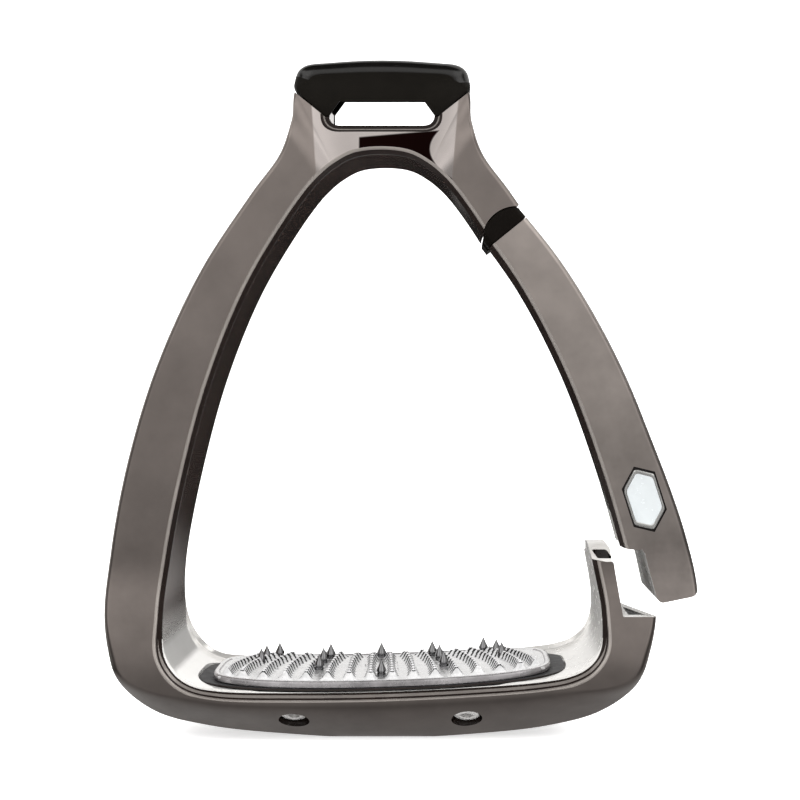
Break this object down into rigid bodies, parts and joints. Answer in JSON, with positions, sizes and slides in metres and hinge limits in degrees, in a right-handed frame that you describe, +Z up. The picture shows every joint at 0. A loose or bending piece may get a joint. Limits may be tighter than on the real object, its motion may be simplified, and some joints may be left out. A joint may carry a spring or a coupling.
{
  "type": "safety stirrup iron",
  "caption": "Metal safety stirrup iron with a black strap guard over the slot, a hinged outer release arm with a magnetic latch, and a ribbed, spiked tread plate.",
  "frame": {"origin": "centre of the flat land under the base", "axes": "+X across the stirrup towards the release arm, +Y from front to rear, +Z up towards the strap slot"},
  "size_m": [0.1654, 0.056, 0.1909],
  "materials": {
    "frame_metal": "satin gunmetal, glossy on the inner faces",
    "arm_metal": "satin gunmetal, a little lighter than the frame",
    "guard_polymer": "matte black with a glossy upper edge",
    "cover_polymer": "semi-matte black",
    "fastener_steel": "plain steel",
    "bush_bronze": "plain bearing bronze",
    "magnet_black": "black coated magnet",
    "stop_rubber": "matte dark grey",
    "badge_silver": "polished silver",
    "tread_metal": "bright silver with a polished rim",
    "gasket_rubber": "matte dark grey",
    "spike_chrome": "dark chrome"
  },
  "bodies": {
    "stirrup": {"frame": "frame_metal", "strap_guard": "guard_polymer", "hinge_bush": "bush_bronze", "latch_magnet": "magnet_black", "arm_stop_pad": "stop_rubber", "tread_plate": "tread_metal", "tread_gasket": "gasket_rubber", "spike_1": "spike_chrome", "spike_2": "spike_chrome", "spike_3": "spike_chrome", "spike_4": "spike_chrome", "spike_5": "spike_chrome", "spike_6": "spike_chrome", "spike_7": "spike_chrome", "spike_8": "spike_chrome", "spike_9": "spike_chrome", "spike_10": "spike_chrome", "spike_11": "spike_chrome", "spike_12": "spike_chrome", "spike_13": "spike_chrome", "spike_14": "spike_chrome", "tread_screw_front_left": "fastener_steel", "tread_screw_front_right": "fastener_steel", "tread_screw_rear_left": "fastener_steel", "tread_screw_rear_right": "fastener_steel"},
    "arm": {"release_arm": "arm_metal", "hinge_cover_front": "cover_polymer", "hinge_cover_rear": "cover_polymer", "hinge_pin": "fastener_steel", "latch_keeper": "fastener_steel", "badge": "badge_silver"}
  },
  "joints": [
    {"name": "arm_hinge", "type": "hinge", "parent": "stirrup", "child": "arm", "pos_m": [0.038, 0, 0.1397], "axis": [0, -1, 0], "range_deg": [-5.3, 95]}
  ]
}
